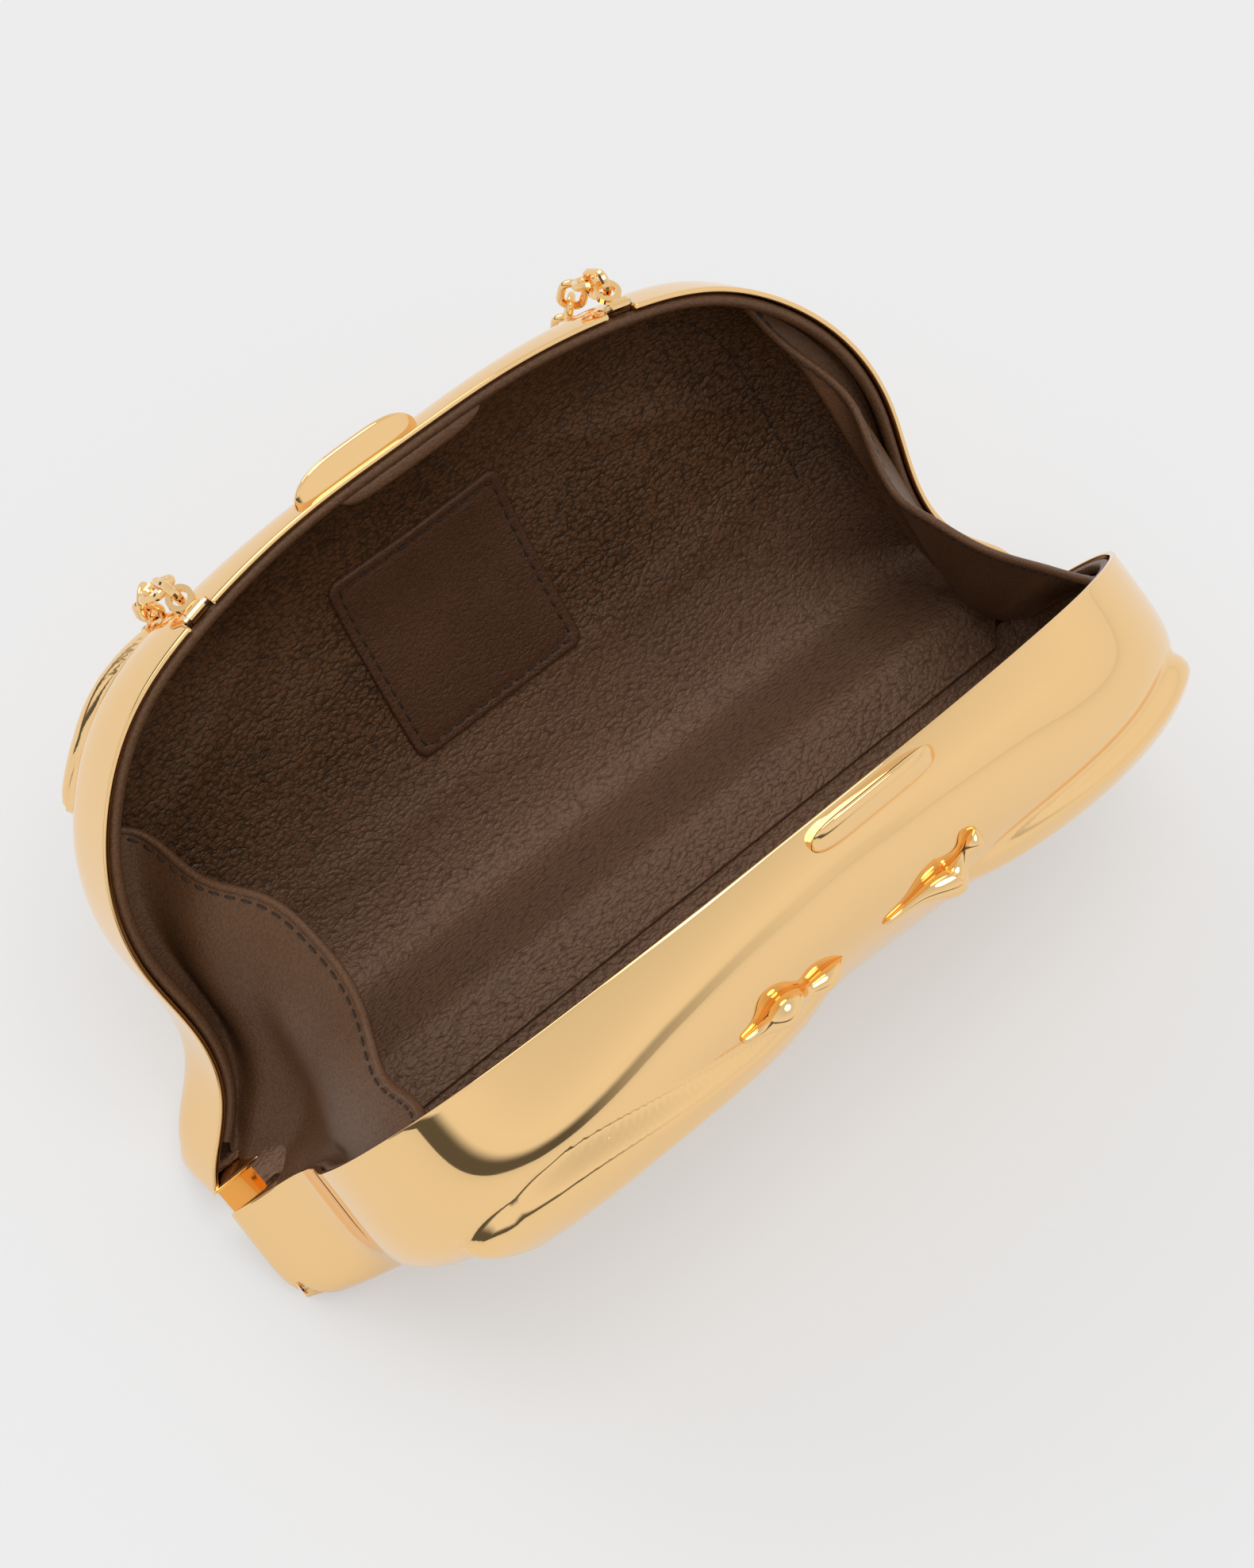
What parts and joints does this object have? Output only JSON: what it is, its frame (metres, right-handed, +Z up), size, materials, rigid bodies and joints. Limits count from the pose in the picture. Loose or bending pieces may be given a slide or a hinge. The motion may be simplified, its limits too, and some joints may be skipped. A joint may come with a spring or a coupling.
{
  "type": "hard-case evening clutch",
  "caption": "Hard-case evening clutch of polished gold metal, standing open, with a brown leather lining, folding side gussets and a chain strap.",
  "frame": {"origin": "centre of the footprint of the open clutch, on the surface that it stands on, measured without the chain strap", "axes": "+X along the bottom hinges, towards the right end; +Y towards the back half, which carries the label patch and the chain; +Z up"},
  "size_m": [0.1898, 0.1554, 0.0945],
  "materials": {
    "gold": "mirror polish",
    "pin_metal": "plain",
    "grain_leather": "fine grain, semi-matt",
    "smooth_leather": "smooth, semi-matt"
  },
  "bodies": {
    "base": {"base_plate": "gold", "front_hinge_pin_left": "pin_metal", "front_hinge_pin_right": "pin_metal", "back_hinge_pin_left": "pin_metal", "back_hinge_pin_right": "pin_metal", "gusset_left": "smooth_leather", "gusset_right": "smooth_leather", "floor_strip": "grain_leather"},
    "front_half": {"front_shell": "gold", "front_lining": "grain_leather", "front_piping": "smooth_leather", "front_tab": "gold", "front_closure_pad": "smooth_leather", "front_knuckle_left": "pin_metal", "front_knuckle_right": "pin_metal", "front_bud_left": "gold", "front_bud_right": "gold"},
    "back_half": {"back_shell": "gold", "back_lining": "grain_leather", "back_piping": "smooth_leather", "back_tab": "gold", "back_closure_pad": "smooth_leather", "back_knuckle_left": "pin_metal", "back_knuckle_right": "pin_metal", "back_bud_left": "gold", "back_bud_right": "gold", "label_patch": "grain_leather", "lug_pin_left": "pin_metal", "lug_pin_right": "pin_metal", "chain_strap": "gold"},
    "eye_left": {"lug_eye_left": "gold"},
    "eye_right": {"lug_eye_right": "gold"},
    "link_1_left": {"link_1_left": "gold"},
    "link_1_right": {"link_1_right": "gold"},
    "link_2_left": {"link_2_left": "gold"},
    "link_2_right": {"link_2_right": "gold"}
  },
  "joints": [
    {"name": "front_hinge", "type": "hinge", "parent": "base", "child": "front_half", "pos_m": [0, -0.0175, 0.0031], "axis": [-1, 0, 0], "range_deg": [0, 30.6], "deforming": ["gusset_left", "gusset_right", "floor_strip"]},
    {"name": "back_hinge", "type": "hinge", "parent": "base", "child": "back_half", "pos_m": [0, 0.0175, 0.0031], "axis": [1, 0, 0], "range_deg": [0, 30.6], "deforming": ["chain_strap"]},
    {"name": "eye_left_swing", "type": "hinge", "parent": "back_half", "child": "eye_left", "pos_m": [-0.0446, 0.0487, 0.08748], "axis": [0.9691, 0.1256, 0.2124], "range_deg": [-4, 20]},
    {"name": "eye_right_swing", "type": "hinge", "parent": "back_half", "child": "eye_right", "pos_m": [0.0446, 0.0487, 0.08748], "axis": [0.9691, -0.1256, -0.2124], "range_deg": [-4, 20]},
    {"name": "link_1_left_swing", "type": "hinge", "parent": "eye_left", "child": "link_1_left", "pos_m": [-0.0454, 0.05391, 0.08808], "axis": [0.9691, 0.1256, 0.2124], "range_deg": [-6, 25]},
    {"name": "link_1_right_swing", "type": "hinge", "parent": "eye_right", "child": "link_1_right", "pos_m": [0.0454, 0.05391, 0.08808], "axis": [0.9691, -0.1256, -0.2124], "range_deg": [-6, 25]},
    {"name": "link_2_left_swing", "type": "hinge", "parent": "link_1_left", "child": "link_2_left", "pos_m": [-0.04525, 0.05792, 0.08502], "axis": [0.2449, -0.5945, -0.7659], "range_deg": [-25, 25]},
    {"name": "link_2_right_swing", "type": "hinge", "parent": "link_1_right", "child": "link_2_right", "pos_m": [0.04525, 0.05792, 0.08502], "axis": [-0.2449, -0.5945, -0.7659], "range_deg": [-25, 25]}
  ]
}
